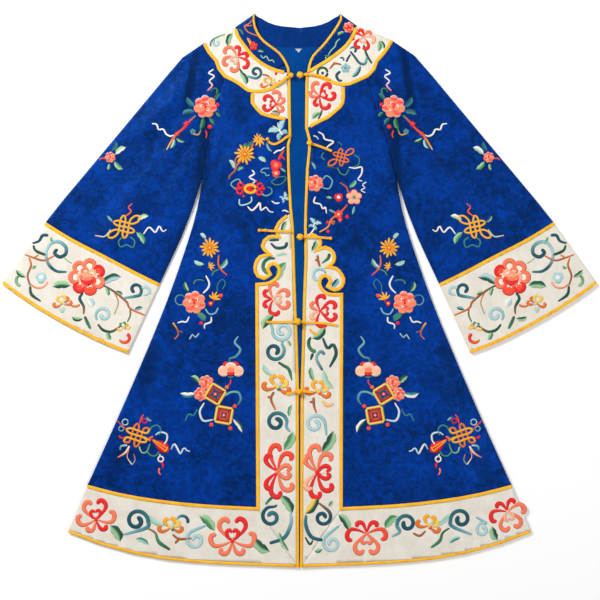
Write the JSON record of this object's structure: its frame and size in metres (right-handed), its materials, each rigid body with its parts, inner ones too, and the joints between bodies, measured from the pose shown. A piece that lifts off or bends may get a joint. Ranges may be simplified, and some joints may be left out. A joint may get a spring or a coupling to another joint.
{
  "type": "embroidered robe",
  "caption": "Open-fronted embroidered robe with a stand collar, wide trumpet sleeves, ivory borders and cord frogs, lying flat face up.",
  "frame": {"origin": "middle of the robe's outline, on the surface it lies on", "axes": "+Z out of the front of the robe, up from the surface; +Y towards the collar; +X across, to the wearer's left"},
  "size_m": [1.19, 1.106, 0.0179],
  "materials": {
    "robe_satin": "deep blue silk satin with a tonal damask",
    "collar_satin": "dark blue silk satin",
    "lining_silk": "brighter blue lining silk",
    "ivory_silk": "ivory silk",
    "gold_satin": "golden satin strip",
    "gold_cord": "golden twisted cord",
    "pale_tape": "plain pale tape"
  },
  "bodies": {
    "root": {"back_lining": "lining_silk", "back_panel": "robe_satin", "border_trim_left": "gold_satin", "border_trim_right": "gold_satin", "chest_tab_left": "ivory_silk", "chest_tab_right": "ivory_silk", "collar_binding_left": "gold_satin", "collar_binding_right": "gold_satin", "collar_left": "collar_satin", "collar_right": "collar_satin", "cuff_band_left": "ivory_silk", "cuff_band_right": "ivory_silk", "cuff_binding_left": "gold_satin", "cuff_binding_right": "gold_satin", "cuff_trim_left": "gold_satin", "cuff_trim_right": "gold_satin", "frog_1_left": "gold_cord", "frog_1_right": "gold_cord", "frog_2_left": "gold_cord", "frog_2_right": "gold_cord", "frog_3_left": "gold_cord", "frog_3_right": "gold_cord", "frog_4_left": "gold_cord", "frog_4_right": "gold_cord", "frog_5_left": "gold_cord", "frog_5_right": "gold_cord", "front_band_left": "ivory_silk", "front_band_right": "ivory_silk", "front_binding_left": "gold_satin", "front_binding_right": "gold_satin", "front_panel_left": "robe_satin", "front_panel_right": "robe_satin", "hem_band_back": "ivory_silk", "hem_band_left": "ivory_silk", "hem_band_right": "ivory_silk", "hem_binding_back": "gold_satin", "hem_binding_left": "gold_satin", "hem_binding_right": "gold_satin", "hem_trim_back": "gold_satin", "neck_tab": "pale_tape", "neck_trim_left": "gold_satin", "neck_trim_right": "gold_satin", "sleeve_left": "robe_satin", "sleeve_right": "robe_satin", "tab_trim_left": "gold_satin", "tab_trim_right": "gold_satin", "yoke_back": "ivory_silk", "yoke_left": "ivory_silk", "yoke_right": "ivory_silk", "yoke_trim_back": "gold_satin", "yoke_trim_left": "gold_satin", "yoke_trim_right": "gold_satin"}
  },
  "joints": []
}
